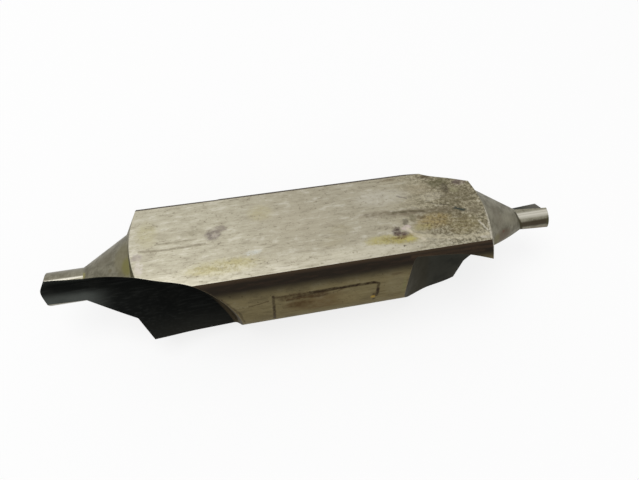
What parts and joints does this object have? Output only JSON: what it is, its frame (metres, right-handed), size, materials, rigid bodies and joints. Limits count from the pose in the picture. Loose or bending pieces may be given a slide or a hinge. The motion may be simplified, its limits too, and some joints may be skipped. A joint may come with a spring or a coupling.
{
  "type": "center drill",
  "caption": "Double-ended center drill: a thick fluted bar with a short pilot, a tapered countersink and a steep guard chamfer at each end, and a ground flat along its shank.",
  "frame": {"origin": "on the drill's axis, at the middle of its length", "axes": "+X along the drill's axis towards its right-hand end as pictured, +Z square out of the clamping flat, +Y to the far side"},
  "size_m": [0.0664, 0.016, 0.0138],
  "materials": {
    "high_speed_steel": "ground and used, stained"
  },
  "bodies": {
    "root": {"center_drill": "high_speed_steel"}
  },
  "joints": []
}
